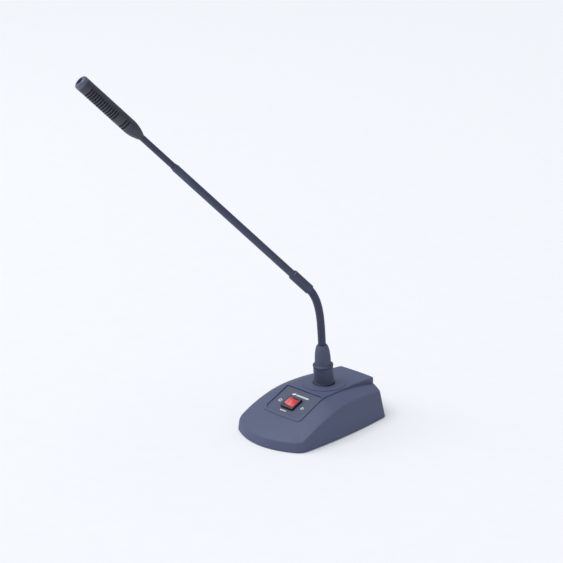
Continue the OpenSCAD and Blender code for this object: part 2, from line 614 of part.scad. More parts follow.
// Housing tube. A shallow turned groove marks each sound slot inside and out, and the slot is saw-cut
// from below, so that a solid spine is left along the top.
nose_len = 4.4;
spine_angle = 25;
first_slot = 11.5;
rear_slots = [52, 54.9];
groove = 0.05;
slot_spots = concat([for (k = [0 : front_slots - 1]) first_slot + slot_pitch * k], rear_slots);
module capsule_housing() color("slategray") at_capsule() translate([0, 0, tail_len]) difference() {
    translate([0, 0, fit]) cylinder(r = capsule_d / 2, h = capsule_len - nose_len - fit, $fn = 96);
    translate([0, 0, -1]) cylinder(r = liner_r, h = capsule_len + 2, $fn = 96);
    for (s = slot_spots) translate([0, 0, capsule_len - s - slot_w / 2]) {
        translate([-capsule_d, -capsule_d, 0])
            cube([2 * capsule_d, capsule_d * (1 + sin(spine_angle) / 2), slot_w]);
        cylinder(r = liner_r + groove, h = slot_w, $fn = 96);
        difference() {
            cylinder(r = capsule_d, h = slot_w, $fn = 96);
            translate([0, 0, -1]) cylinder(r = capsule_d / 2 - groove, h = slot_w + 2, $fn = 96);
        }
    }
}

module nose_ring() color("slategray") at_capsule()
    translate([0, 0, tail_len + capsule_len - nose_len]) difference() {
        union() {
            rotate_extrude($fn = 96) polygon(concat([[0, fit], [capsule_d / 2, fit]],
                [for (k = [0 : 6]) let (a = 90 * k / 6)
                    [capsule_d / 2 - 2.9 + 2.9 * cos(a), nose_len - 2.6 + 2.6 * sin(a)]],
                [[0, nose_len]]));
            translate([0, 0, -2.5]) cylinder(r = liner_r - fit, h = 2.6);
        }
        translate([0, 0, -5]) cylinder(r = 3.45, h = 20);
        translate([0, 0, -5]) cylinder(r = 4.7, h = 6.5);
    }

module front_mesh() color("black") at_capsule()
    translate([0, 0, tail_len + capsule_len - nose_len + 1]) cylinder(r = 4.6, h = 0.4);

module slot_screen() color("black") at_capsule() translate([0, 0, tail_len + 3.3]) difference() {
    cylinder(r = liner_r - 0.15, h = capsule_len - nose_len - 6);
    translate([0, 0, -1]) cylinder(r = liner_r - 0.6, h = capsule_len);
}

element_z = 8.5;
module mic_element() color("silver") at_capsule() translate([0, 0, tail_len + element_z]) {
    cylinder(r = 4.35, h = 4.8);
    translate([0, 0, -1.1]) cylinder(r = 3.2, h = 1.2);
    for (s = [-1, 1]) translate([s * 1.4, 0, -2.4]) cylinder(r = 0.35, h = 1.4, $fn = 16);
}

module element_holder() color("dimgray") at_capsule() translate([0, 0, tail_len + element_z - 0.6])
    difference() {
        cylinder(r = liner_r - 0.65, h = 5.8);
        translate([0, 0, 0.55]) cylinder(r = 4.4, h = 10);
        translate([0, 0, -1]) cylinder(r = 3.3, h = 10);
    }

module tail_board() color("darkgreen") at_capsule() translate([-3.3, -0.5, tail_len - 1.2]) {
    cube([6.6, 1, 6.7]);
    translate([1, 1, 1]) cube([2.2, 0.7, 2.2]);
    translate([3.9, 1, 2.6]) cube([1.6, 0.7, 2.6]);
}

base_housing();
deck_disc();
panel_plate();
panel_marks();
switch_housing();
switch_rocker();
switch_contacts();
switch_lever();
circuit_board();
board_parts();
board_screws();
bottom_plate();
ballast_weights();
plate_screws();
rubber_feet();
output_shell();
output_insert();
output_pins();
output_screws();
socket_barrel();
socket_nut();
socket_insert();
socket_contacts();
wire_harness();
plug_shell();
plug_insert();
plug_pins();
plug_chuck();
plug_boot();
lower_flex_root();
lower_link(1);  // lower_link_1
lower_link(2);  // lower_link_2
lower_link(3);  // lower_link_3
lower_link(4);  // lower_link_4
lower_link(5);  // lower_link_5
lower_link(6);  // lower_link_6
lower_link(7);  // lower_link_7
lower_flex_end();
lower_ferrule();
stem_tube();
stem_cable();
upper_ferrule();
upper_flex_root();
upper_link(1);  // upper_link_1
upper_link(2);  // upper_link_2
upper_link(3);  // upper_link_3
upper_link(4);  // upper_link_4
upper_link(5);  // upper_link_5
upper_flex_end();
capsule_tail();
capsule_housing();
nose_ring();
front_mesh();
slot_screen();
mic_element();
element_holder();
tail_board();
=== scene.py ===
"""Looks of the desk-stand gooseneck microphone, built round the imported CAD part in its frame.

Lengths in the helpers are millimetres; meshes are made in metres. +X right, -Y front, +Z up.
"""
import json
import math

import bmesh
import bpy
import numpy as np
from mathutils import Matrix, Vector


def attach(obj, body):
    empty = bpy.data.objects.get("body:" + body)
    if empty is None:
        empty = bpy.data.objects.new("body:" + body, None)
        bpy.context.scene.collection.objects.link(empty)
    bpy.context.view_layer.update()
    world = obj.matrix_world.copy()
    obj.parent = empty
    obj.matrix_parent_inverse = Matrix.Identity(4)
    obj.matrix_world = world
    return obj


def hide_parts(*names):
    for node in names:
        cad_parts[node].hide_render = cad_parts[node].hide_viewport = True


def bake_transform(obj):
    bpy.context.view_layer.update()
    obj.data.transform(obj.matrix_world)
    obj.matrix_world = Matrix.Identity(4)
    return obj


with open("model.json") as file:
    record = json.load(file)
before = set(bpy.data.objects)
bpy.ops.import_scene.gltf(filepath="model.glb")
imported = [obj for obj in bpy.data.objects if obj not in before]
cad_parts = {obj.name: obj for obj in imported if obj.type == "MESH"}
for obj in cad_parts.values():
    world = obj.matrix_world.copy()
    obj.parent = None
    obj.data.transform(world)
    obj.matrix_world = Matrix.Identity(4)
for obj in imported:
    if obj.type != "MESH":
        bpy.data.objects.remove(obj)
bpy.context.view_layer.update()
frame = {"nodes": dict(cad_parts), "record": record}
NODES = frame["nodes"]

# ---------- sizes: those of the CAD part, but the rocker and its opening are a little smaller ----------
FOOT_GAP = 1.0
DECK_H, SIDE_H, LIP_H = 34.1, 27.7, 8.8
PANEL_SLOPE, PANEL_TOP_Y, PANEL_MID, PANEL_RECESS = 21.9, -10.0, -18.8, 1.0
PANEL_W, PANEL_LEN, PLATE_CORNER = 43.2, 33.2, 4.5
SWITCH_X, BEZEL_HALF, BEZEL_H, BEZEL_ROUND = 0.0, 7.6, 2.8, 0.5
BODY_HALF, OPENING, WELL = 6.4, (5.65, 5.25), (5.45, 5.05)
ROCKER_L, ROCKER_W, PIVOT_H, ROCKER_SWING = 10.2, 9.4, 0.6, 20.0
SOCKET_Y, SOCKET_TILT, DISC_R, DISC_T = 16.8, 4.5, 20.6, 0.8
PLUG_R, PLUG_H, BOOT_TOP = 9.5, 19.7, 39.0
NECK_TURN, NECK_BEND, BEND_SHARE = 27.5, 40.7, 2.2
LOWER_R, STEM_R, UPPER_R = 3.75, 3.5, 2.8
LOWER_START, LOWER_PITCH, LOWER_N = 43.0, 7.6, 8
UPPER_START, UPPER_PITCH, UPPER_N = 4.5, 6.6, 6
STEM_LEN, SHOULDER_LEN = 183.5, 3.6
FERRULE_R, FERRULE_LEN, FERRULE_GAP = 4.75, 25.0, 2.0
TAIL_GAP, TAIL_LEN = 2.2, 15.0
CAP_R, CAP_LEN, NOSE_LEN = 6.5, 58.7, 4.4
LINER_R = CAP_R - 0.8
SLOTS = [11.5 + 2.58 * k for k in range(13)] + [52.0, 54.9]
SLOT_W, SPINE_ANGLE, SPINE_SIDES = 1.1, 25.0, 24
OUTPUT_Y, OUTPUT_Z = 63.2, 15.5


# ---------- frames, as 4x4 matrices in mm ----------
def move(x, y, z):
    return Matrix.Translation((x, y, z))


def turn(axis, degrees):
    return Matrix.Rotation(math.radians(degrees), 4, axis)


def hinge_bend(i):
    """Bend at hinge i of the lower section, growing towards the stem."""
    total = sum(k ** BEND_SHARE for k in range(1, LOWER_N + 1))
    return NECK_BEND * i ** BEND_SHARE / total


LIFT = move(0, 0, FOOT_GAP)
AT_PANEL = LIFT @ move(0, PANEL_TOP_Y, DECK_H) @ turn("X", PANEL_SLOPE) @ move(0, 0, -PANEL_RECESS)
AT_SWITCH = AT_PANEL @ move(SWITCH_X, PANEL_MID, 0)
AT_SOCKET = LIFT @ move(0, SOCKET_Y, DECK_H + DISC_T) @ turn("X", SOCKET_TILT)
AT_NECK = AT_SOCKET @ turn("Z", -NECK_TURN)
LOWER = []
step = AT_NECK @ move(0, 0, LOWER_START)
for k in range(1, LOWER_N + 1):
    step = step @ turn("X", hinge_bend(k))
    LOWER.append(step)
    step = step @ move(0, 0, LOWER_PITCH)
AT_STEM = LOWER[-1]
AT_SHOULDER = AT_STEM @ move(0, 0, STEM_LEN)
AT_CAPSULE = AT_SHOULDER @ move(0, 0, UPPER_START + UPPER_PITCH * (UPPER_N - 1) + TAIL_GAP)
AT_OUTPUT = LIFT @ move(0, OUTPUT_Y, OUTPUT_Z) @ turn("X", -90)


# ---------- materials ----------
BLACK, WHITE = (0, 0, 0, 1), (1, 1, 1, 1)
BLOTCH, SMUDGE = 22, 7


def linear(rgb):
    """A display colour of 0 to 255 as linear light, with alpha."""
    shares = (v / 255 for v in rgb)
    return tuple(c / 12.92 if c <= 0.04045 else ((c + 0.055) / 1.055) ** 2.4 for c in shares) + (1.0,)


class Look:
    """A procedural material: base colour with cloudy variation, fine grain bump and worn edges.

    Faces turned upwards may take a second colour, a painted sheen for the light they catch from above. Sizes
    of grain and edge are in mm.
    """

    def __init__(self, name, rgb, rough, metal=0.0, grain=0.5, grain_bump=0.15, cloud=0.05, wear=0.25,
                 coat=0.0, edge=0.25, rough_var=0.06, painted_top_sheen=None):
        self.material = bpy.data.materials.new(name)
        self.material.use_nodes = True
        tree = self.material.node_tree
        tree.nodes.clear()
        self.tree = tree
        out = self.node("ShaderNodeOutputMaterial")
        self.shader = self.node("ShaderNodeBsdfPrincipled")
        tree.links.new(self.shader.outputs["BSDF"], out.inputs["Surface"])
        self.shader.inputs["Metallic"].default_value = metal
        self.shader.inputs["Coat Weight"].default_value = coat
        self.shader.inputs["Coat Roughness"].default_value = 0.15
        self.coords = self.node("ShaderNodeTexCoord").outputs["Object"]
        fine = self.noise(1000 / grain, 3, 0.6)
        blotch = self.noise(1000 / BLOTCH, 4, 0.55)
        smudge = self.noise(1000 / SMUDGE, 5, 0.6)
        base = linear(rgb)
        dark = tuple(c * (1 - cloud * 1.6) for c in base[:3]) + (1.0,)
        light = tuple(min(1, c * (1 + cloud * 1.6)) for c in base[:3]) + (1.0,)
        ramp = self.ramp(blotch, [(0.3, dark), (0.7, light)])
        speck = self.ramp(fine, [(0.28, tuple(c * (1 - cloud) for c in base[:3]) + (1.0,)), (0.6, base)])
        colour = self.mix(0.4, ramp, speck)
        worn = tuple(min(1, c * 2.1 + 0.02) for c in base[:3]) + (1.0,)
        if wear > 0:
            point = self.node("ShaderNodeNewGeometry").outputs["Pointiness"]
            edges = self.ramp(point, [(0.51, BLACK), (0.60, WHITE)])
            patchy = self.math("MULTIPLY", edges, self.ramp(smudge, [(0.35, BLACK), (0.65, WHITE)]))
            amount = self.math("MULTIPLY", patchy, wear)
            colour = self.mix(amount, colour, worn)
        # Painted sheen: faces turned upwards are painted a second colour that stands in for the light they
        # catch from above.
        if painted_top_sheen:
            up_faces = self.node("ShaderNodeSeparateXYZ")
            self.link(self.node("ShaderNodeNewGeometry").outputs["Normal"], up_faces.inputs["Vector"])
            painted_sheen_mask = self.ramp(up_faces.outputs["Z"], [(0.72, BLACK), (0.9, WHITE)])
            colour = self.mix(painted_sheen_mask, colour, linear(painted_top_sheen))
        self.link(colour, self.shader.inputs["Base Color"])
        spread = self.node("ShaderNodeMapRange")
        spread.inputs["To Min"].default_value = max(0.02, rough - rough_var)
        spread.inputs["To Max"].default_value = min(1.0, rough + rough_var)
        self.link(smudge, spread.inputs["Value"])
        self.link(spread.outputs["Result"], self.shader.inputs["Roughness"])
        bump = self.node("ShaderNodeBump")
        bump.inputs["Strength"].default_value = grain_bump
        bump.inputs["Distance"].default_value = 0.00012
        self.link(fine, bump.inputs["Height"])
        if edge > 0:
            round_edges = self.node("ShaderNodeBevel")
            round_edges.samples = 4
            round_edges.inputs["Radius"].default_value = edge / 1000
            self.link(round_edges.outputs["Normal"], bump.inputs["Normal"])
        self.link(bump.outputs["Normal"], self.shader.inputs["Normal"])

    def node(self, kind):
        return self.tree.nodes.new(kind)

    def link(self, a, b):
        self.tree.links.new(a, b)

    def noise(self, scale, detail, rough):
        n = self.node("ShaderNodeTexNoise")
        n.inputs["Scale"].default_value = scale
        n.inputs["Detail"].default_value = detail
        n.inputs["Roughness"].default_value = rough
        self.link(self.coords, n.inputs["Vector"])
        return n.outputs["Fac"]

    def ramp(self, value, stops):
        n = self.node("ShaderNodeValToRGB")
        n.color_ramp.elements[0].position, n.color_ramp.elements[0].color = stops[0]
        n.color_ramp.elements[1].position, n.color_ramp.elements[1].color = stops[-1]
        self.link(value, n.inputs["Fac"])
        return n.outputs["Color"]

    def mix(self, amount, a, b):
        n = self.node("ShaderNodeMix")
        n.data_type = "RGBA"
        for value, socket in ((amount, 0), (a, 6), (b, 7)):
            if isinstance(value, (int, float, tuple)):
                n.inputs[socket].default_value = value
            else:
                self.link(value, n.inputs[socket])
        return n.outputs[2]

    def math(self, operation, a, b):
        n = self.node("ShaderNodeMath")
        n.operation = operation
        for value, socket in ((a, 0), (b, 1)):
            if isinstance(value, (int, float)):
                n.inputs[socket].default_value = value
            else:
                self.link(value, n.inputs[socket])
        return n.outputs[0]


LOOKS = {
    "housing": Look("housing", (82, 90, 120), 0.6, grain=0.55, grain_bump=0.3, cloud=0.035, wear=0.25),
    "panel": Look("panel", (76, 83, 109), 0.6, grain=0.35, grain_bump=0.25, cloud=0.04, wear=0.1),
    "marks": Look("marks", (232, 235, 240), 0.6, grain=0.3, grain_bump=0.1, cloud=0.02, wear=0, edge=0),
    # The switch body's upward faces are painted lighter: a painted sheen for the light its glossy black top
    # catches from above.
    "switch_body": Look("switch_body", (20, 20, 25), 0.3, grain=0.8, grain_bump=0.06, cloud=0.05, coat=0.2,
                        painted_top_sheen=(68, 72, 86)),
    "rocker": Look("rocker", (222, 30, 42), 0.3, grain=0.9, grain_bump=0.05, cloud=0.04, wear=0.05, coat=0.5),
    "contact_metal": Look("contact_metal", (214, 176, 110), 0.3, metal=1.0, grain=0.4, grain_bump=0.1),
    "steel": Look("steel", (190, 190, 194), 0.25, metal=1.0, grain=0.3, grain_bump=0.12),
    "board": Look("board", (28, 92, 56), 0.4, grain=0.6, grain_bump=0.2),
    "board_parts": Look("board_parts", (48, 48, 54), 0.4, grain=0.5, grain_bump=0.1),
    "plate": Look("plate", (52, 55, 66), 0.6, metal=0.2, grain=0.45, grain_bump=0.35, wear=0.35),
    "ballast": Look("ballast", (150, 150, 152), 0.4, metal=0.9, grain=0.7, grain_bump=0.3),
    "rubber": Look("rubber", (34, 34, 37), 0.85, grain=0.4, grain_bump=0.4, wear=0.1),
    "insulator": Look("insulator", (40, 40, 46), 0.6, grain=0.4, grain_bump=0.15),
    "nickel": Look("nickel", (196, 194, 188), 0.3, metal=1.0, grain=0.5, grain_bump=0.15),
    "barrel": Look("barrel", (40, 43, 55), 0.4, metal=0.3, grain=0.4, grain_bump=0.15),
    "leads": Look("leads", (168, 40, 36), 0.55, grain=0.5, grain_bump=0.1, edge=0),
    "plug_paint": Look("plug_paint", (66, 71, 98), 0.5, metal=0.1, grain=0.4, grain_bump=0.28, cloud=0.04,
                       wear=0.35),
    "boot": Look("boot", (82, 88, 114), 0.7, grain=0.4, grain_bump=0.3, cloud=0.04, wear=0.1),
    "flex": Look("flex", (55, 60, 86), 0.5, metal=0.1, grain=0.35, grain_bump=0.2, cloud=0.05, wear=0.3,
                 edge=0),
    "neck_paint": Look("neck_paint", (62, 68, 94), 0.45, metal=0.1, grain=0.4, grain_bump=0.2, cloud=0.04,
                       wear=0.3),
    "cable": Look("cable", (30, 30, 33), 0.7, grain=0.5, grain_bump=0.15, edge=0),
    "capsule_paint": Look("capsule_paint", (58, 61, 74), 0.42, metal=0.1, grain=0.4, grain_bump=0.2,
                          cloud=0.05, wear=0.4, edge=0.12),
    "nose_paint": Look("nose_paint", (94, 100, 120), 0.42, metal=0.15, grain=0.4, grain_bump=0.2, cloud=0.05,
                       wear=0.4),
    "mesh": Look("mesh", (16, 16, 19), 0.8, grain=0.35, grain_bump=0.8, edge=0),
    "element": Look("element", (176, 176, 172), 0.35, metal=0.9, grain=0.5, grain_bump=0.1),
}
SLOT_OF = {entry["node"]: entry["material_slot"] for entry in frame["record"]["subparts"]}


# ---------- mesh helpers ----------
def piece(name, points, faces, place, look, body, smooth_angle=32, replaces=(), bevel=None):
    """Makes a mesh of points in mm, put in the shared frame by place, and lets it ride on a CAD body."""
    place = np.array(place)
    co = (np.asarray(points, float) @ place[:3, :3].T + place[:3, 3]) / 1000
    mesh = bpy.data.meshes.new(name)
    mesh.from_pydata(co.tolist(), [], [list(f) for f in faces])
    mesh.validate()
    tidy = bmesh.new()
    tidy.from_mesh(mesh)
    bmesh.ops.recalc_face_normals(tidy, faces=tidy.faces)
    tidy.to_mesh(mesh)
    tidy.free()
    obj = bpy.data.objects.new(name, mesh)
    bpy.context.scene.collection.objects.link(obj)
    if bevel:
        modifier = obj.modifiers.new("edges", "BEVEL")
        modifier.width = bevel[0] / 1000
        modifier.segments = bevel[1]
        modifier.limit_method = "ANGLE"
        modifier.angle_limit = math.radians(bevel[2] if len(bevel) > 2 else 40)
        settle(obj)
    shade(obj, smooth_angle)
    obj.data.materials.clear()
    obj.data.materials.append(LOOKS[look].material)
    if body:
        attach(obj, body)
        finish_piece(replaces)
    return obj


def finish_piece(replaces):
    """Hides the CAD nodes that a piece stands for."""
    for node in replaces:
        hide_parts(node)


def settle(obj):
    """Applies the modifiers of an object."""
    depsgraph = bpy.context.evaluated_depsgraph_get()
    mesh = bpy.data.meshes.new_from_object(obj.evaluated_get(depsgraph))
    obj.modifiers.clear()
    obj.data = mesh


def shade(obj, angle):
    """Smooth shading that stays sharp at edges over the angle in degrees."""
    mesh = obj.data
    mesh.polygons.foreach_set("use_smooth", [True] * len(mesh.polygons))
    mesh.set_sharp_from_angle(angle=math.radians(angle))


def rings_mesh(rings, close_ends=True):
    """Faces between stacked rings of equal length; an end is closed by one flat face."""
    n = len(rings[0])
    points = [p for ring in rings for p in ring]
    faces = []
    for j in range(len(rings) - 1):
        for i in range(n):
            a, b = j * n + i, j * n + (i + 1) % n
            faces.append((a, b, b + n, a + n))
    if close_ends:
        faces.append(tuple(range(n))[::-1])
        faces.append(tuple((len(rings) - 1) * n + i for i in range(n)))
    return points, faces


def circle(radius, z, sides):
    angles = [2 * math.pi * i / sides for i in range(sides)]
    return [(radius * math.cos(a), radius * math.sin(a), z) for a in angles]


def lathe(profile, sides=96):
    """Solid of revolution of a (radius, z) profile. A closed loop makes a ring; ends on the axis close."""
    looped = profile[0][0] > 1e-6 and profile[-1][0] > 1e-6
    points, faces, rows = [], [], []
    for r, z in profile:
        if r < 1e-6:
            rows.append([len(points)])
            points.append((0, 0, z))
        else:
            rows.append(list(range(len(points), len(points) + sides)))
            points.extend(circle(r, z, sides))
    pairs = list(zip(rows, rows[1:])) + ([(rows[-1], rows[0])] if looped else [])
    for low, high in pairs:
        for i in range(sides):
            k = (i + 1) % sides
            if len(low) == 1 and len(high) == 1:
                break
            if len(low) == 1:
                faces.append((low[0], high[k], high[i]))
            elif len(high) == 1:
                faces.append((low[i], low[k], high[0]))
            else:
                faces.append((low[i], low[k], high[k], high[i]))
    return points, faces


def rounded_rect(hx, hy, r, z, steps=6, centre=(0, 0), corners=(1, 1, 1, 1)):
    """Counter-clockwise rounded rectangle; corners scale the radius at ++, -+, --, +-."""
    ring = []
    for (sx, sy, a0), scale in zip(((1, 1, 0), (-1, 1, 90), (-1, -1, 180), (1, -1, 270)), corners):
        rr = max(r * scale, 0.02)
        for k in range(steps + 1):
            a = math.radians(a0 + 90 * k / steps)
            ring.append((centre[0] + sx * (hx - rr) + rr * math.cos(a),
                         centre[1] + sy * (hy - rr) + rr * math.sin(a), z))
    return ring


def arc(cx, cz, r, a0, a1, steps):
    return [(cx + r * math.cos(math.radians(a0 + (a1 - a0) * k / steps)),
             cz + r * math.sin(math.radians(a0 + (a1 - a0) * k / steps))) for k in range(steps + 1)]


# ---------- base housing ----------
# Plan outlines: half widths wf, wr and ends yf, yr at front and rear; bows bf, br, bs of front, rear and
# sides; corner sizes cf, cr. CREST_Y is where the side walls are highest. The rounding of the two edges,
# EDGE_SOFT and DECK_EDGE, is chosen for the looks and differs a little from the CAD part's.
BASE = dict(wf=42.0, wr=42.0, yf=-57.0, yr=58.5, bf=14.7, br=10.0, bs=3.0, cf=6.0, cr=3.0)
DECK = dict(wf=23.9, wr=21.2, yf=-42.5, yr=64.4, bf=0.8, br=0.9, bs=0.0, cf=4.0, cr=2.0)
RUN, PANEL_PTS, CORNER = 27, 16, 10
CREST_Y, EDGE_SOFT, DECK_EDGE = 15.0, 1.4, 0.8
# Falls to the rear, leans of the walls, the line where walls and deck meet, and the wall thicknesses
REAR_FALL, PANEL_RISE = 0.0018, math.tan(math.radians(PANEL_SLOPE))
DRAFT_FRONT, DRAFT_GAIN, DRAFT_REAR, DRAFT_ENDS = 0.1, 0.12, 0.22, 0.08
SHOULDER_H, SHOULDER_FALL, SHOULDER_Y = 32.5, 0.00195, 5
SHOULDER_FRONT_H, SHOULDER_BLEND = 19.6, 1.44
DECK_FALL, DECK_FALL_Y, DECK_FALL_RUN = 2.05, 25, 39.4
WALL_FOOT, WALL_TOP, WALL_DECK, ROOF_SIDE, ROOF_DECK = 2.6, 3.4, 3, 4.2, 5
# Openings
PANEL_PLAY, POCKET_HALF_W, POCKET_HALF_L = 0.25, 19, 14
SOCKET_BORE, OUTPUT_BORE, OUTPUT_SEAT = 10.5, 10.6, 13.4
DISC_BORE = 10.6


def outline(wf, wr, yf, yr, bf, br, bs, cf, cr):
    """Plan outline, from the middle of the front round the right side, the rear and back up the left."""
    def bow(x, half, depth):
        return depth * (1 - (x / half) ** 2)

    def side(y):
        t = (y - yf) / (yr - yf)
        return np.array([wf + (wr - wf) * t + bs * (1 - (2 * t - 1) ** 2), y])

    def bend(a, c, b, t):
        return a * (1 - t) ** 2 + 2 * c * t * (1 - t) + b * t * t

    pts = [np.array([(wf - cf) * i / RUN, yf - bow((wf - cf) * i / RUN, wf, bf)]) for i in range(RUN + 1)]
    pts += [bend(pts[RUN], np.array([wf, yf]), side(yf + cf), i / CORNER) for i in range(1, CORNER + 1)]
    pts += [side(yf + cf + (PANEL_TOP_Y - yf - cf) * i / PANEL_PTS) for i in range(1, PANEL_PTS + 1)]
    pts += [side(PANEL_TOP_Y + (yr - cr - PANEL_TOP_Y) * i / RUN) for i in range(1, RUN + 1)]
    last, end = pts[-1], np.array([wr - cr, yr + bow(wr - cr, wr, br)])
    pts += [bend(last, np.array([wr, yr]), end, i / CORNER) for i in range(1, CORNER + 1)]
    pts += [np.array([(wr - cr) * (1 - i / RUN), yr + bow((wr - cr) * (1 - i / RUN), wr, br)])
            for i in range(1, RUN + 1)]
    return np.array(pts + [np.array([-p[0], p[1]]) for p in pts[-2:0:-1]])


def drawn_in(plan, t):
    """The parameters of a plan outline, moved inwards by t."""
    return dict(plan, wf=plan["wf"] - t, wr=plan["wr"] - t, yf=plan["yf"] + t, yr=plan["yr"] - t)


def with_z(xy, z):
    return np.column_stack([xy, np.broadcast_to(z, len(xy))])


def side_top(y):
    """Height of the side walls: the front lip, a rise to the crest and a slow fall to the rear."""
    rise = (SIDE_H - LIP_H) / (CREST_Y - BASE["yf"]) ** 2
    return np.where(y < BASE["yf"], LIP_H, np.where(
        y < CREST_Y, SIDE_H - rise * (y - CREST_Y) ** 2,
        SIDE_H - REAR_FALL * (np.minimum(y, BASE["yr"]) - CREST_Y) ** 2))


def leaning(plan, z):
    """A plan outline at height z, drawn in by the draft of the walls."""
    front = DRAFT_FRONT + DRAFT_GAIN * (plan[:, 1] - BASE["yf"]) / (CREST_Y - BASE["yf"])
    draft = np.where(plan[:, 1] < CREST_Y, front, DRAFT_REAR)
    return with_z(plan * np.column_stack([1 - draft * z / BASE["wf"], 1 - DRAFT_ENDS * z / BASE["yr"]]), z)


def shoulder_height(y):
    """Height of the deck's lower edge: the lower of a falling crest and the panel's slope, blended."""
    crest = SHOULDER_H - SHOULDER_FALL * np.maximum(y - SHOULDER_Y, 0) ** 2
    front = SHOULDER_FRONT_H + PANEL_RISE * (y - DECK["yf"])
    return (crest + front - np.sqrt((crest - front) ** 2 + SHOULDER_BLEND)) / 2


def deck_height(y):
    """Height of the top: the panel's slope, a level stretch and a slow fall to the rear."""
    return np.where(y < PANEL_TOP_Y, DECK_H + PANEL_RISE * (y - PANEL_TOP_Y),
                    DECK_H - DECK_FALL * (np.maximum(y - DECK_FALL_Y, 0) / DECK_FALL_RUN) ** 2)


def housing_rings():
    """Rings of the outside, from the foot up the walls, over the soft edge and the shoulder to the deck."""
    base, deck = outline(**BASE), outline(**DECK)
    top, dy = side_top(base[:, 1]), deck[:, 1]
    start, corner, end = leaning(base, top - EDGE_SOFT), leaning(base, top), with_z(deck, shoulder_height(dy))
    d = end - corner
    edge_end = corner + d * np.minimum(EDGE_SOFT * 1.3 / np.linalg.norm(d, axis=1), 0.6)[:, None]
    rings = [leaning(base, (top - EDGE_SOFT) * k) for k in (0, 0.03, 0.5)]
    curve = np.linspace(0, 1, 7)
    rings += [start * (1 - k) ** 2 + 2 * corner * k * (1 - k) + edge_end * k * k for k in curve]
    lift = np.zeros_like(end)
    lift[:, 2] = np.minimum(2, np.linalg.norm((end - edge_end)[:, :2], axis=1) / 4)
    rings += [edge_end + (end - edge_end) * k + lift * k * (1 - k) for k in (0.2, 0.4, 0.6, 0.8, 0.93, 1)]
    rings += [with_z(deck, np.maximum(deck_height(dy) - DECK_EDGE, end[:, 2] + 0.05))]
    for k in (30, 60, 90):
        s, c = 1 - math.cos(math.radians(k)), math.sin(math.radians(k))
        plan = outline(**drawn_in(DECK, DECK_EDGE * s))
        rings.append(with_z(plan, deck_height(dy) - DECK_EDGE * (1 - c)))
    return rings


def cavity_rings():
    """Inside of the housing: from under it to the tops of its walls, then to the underside of the deck."""
    low, high = outline(**drawn_in(BASE, WALL_FOOT)), outline(**drawn_in(BASE, WALL_TOP))
    deck = outline(**drawn_in(DECK, WALL_DECK))
    return [with_z(low, -1), leaning(high, side_top(high[:, 1]) - ROOF_SIDE),
            with_z(deck, deck_height(deck[:, 1]) - ROOF_DECK)]


def housing_solid(rings):
    """The lofted rings, closed below by one face and above by strips from side to side."""
    n = len(rings[0])
    points, faces = rings_mesh(rings, close_ends=False)
    faces.append(tuple(range(n))[::-1])
    last = (len(rings) - 1) * n
    faces += [(last + i, last + i + 1, last + n - i - 1, last + n - i) for i in range(1, n // 2 - 1)]
    faces += [(last, last + 1, last + n - 1), (last + n // 2 - 1, last + n // 2, last + n // 2 + 1)]
    return points, faces


def cutter(points, faces, place):
    return piece("cutter", points, faces, place, "housing", None)


def cut(obj, tools):
    for tool in tools:
        modifier = obj.modifiers.new("cut", "BOOLEAN")
        modifier.object = tool
        modifier.operation = "DIFFERENCE"
        modifier.solver = "EXACT"
    settle(obj)
    for tool in tools:
        bpy.data.objects.remove(tool)


def panel_outline(grow, z, steps=8):
    """The panel's plan: rounded at the front, nearly square at the rear."""
    half_w, half_l = PANEL_W / 2 + grow, PANEL_LEN / 2 + grow
    return rounded_rect(half_w, half_l, PLATE_CORNER + grow, z, steps, (0, -PANEL_LEN / 2), (0.1, 0.1, 1, 1))


AT_DISC = LIFT @ move(0, SOCKET_Y, DECK_H)
recess = [panel_outline(PANEL_PLAY, z) for z in (-PANEL_RECESS - 1.6, 6)]
pocket = [rounded_rect(POCKET_HALF_W, POCKET_HALF_L, 1, z, 2, (0, -17)) for z in (-9, 0)]
socket_bore = [(0, -10), (SOCKET_BORE, -10), (SOCKET_BORE, 10), (0, 10)]
output_bore = [(0, -6), (OUTPUT_BORE, -6), (OUTPUT_BORE, 0), (OUTPUT_SEAT, 0), (OUTPUT_SEAT, 12), (0, 12)]
housing = piece("housing_skin", *housing_solid(housing_rings()), LIFT, "housing", None, smooth_angle=28)
cut(housing, [
    cutter(*rings_mesh(recess), AT_PANEL @ move(0, 0, PANEL_RECESS)),
    cutter(*rings_mesh(pocket), AT_PANEL),
    cutter(*lathe(socket_bore), AT_DISC @ turn("X", SOCKET_TILT)),
    cutter(*housing_solid(cavity_rings()), LIFT),
    cutter(*lathe(output_bore), AT_OUTPUT),
])
shade(housing, 28)
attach(housing, "base")
finish_piece(["base_housing"])

# Thin wall that backs the output connector behind its seat
backing = [rounded_rect(17, 13.2, 1, z, 3, (0, -0.3)) for z in (-4, -0.02)]
back_wall = piece("output_backing", *rings_mesh(backing), AT_OUTPUT, "housing", None)
cut(back_wall, [cutter(*lathe([(0, -6), (OUTPUT_BORE, -6), (OUTPUT_BORE, 3), (0, 3)]), AT_OUTPUT)])
shade(back_wall, 30)
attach(back_wall, "base")
finish_piece([])

# ---------- plateau, panel and switch ----------
disc = [(DISC_BORE, 0.02), (DISC_R - 0.25, 0.02), (DISC_R, 0.1)]
disc += arc(DISC_R - 0.45, DISC_T - 0.45, 0.45, 0, 90, 5)
disc += [(10.75, DISC_T), (DISC_BORE, DISC_T - 0.15)]
piece("plateau", *lathe(disc, 128), AT_DISC, "housing", "base", replaces=["deck_disc"])

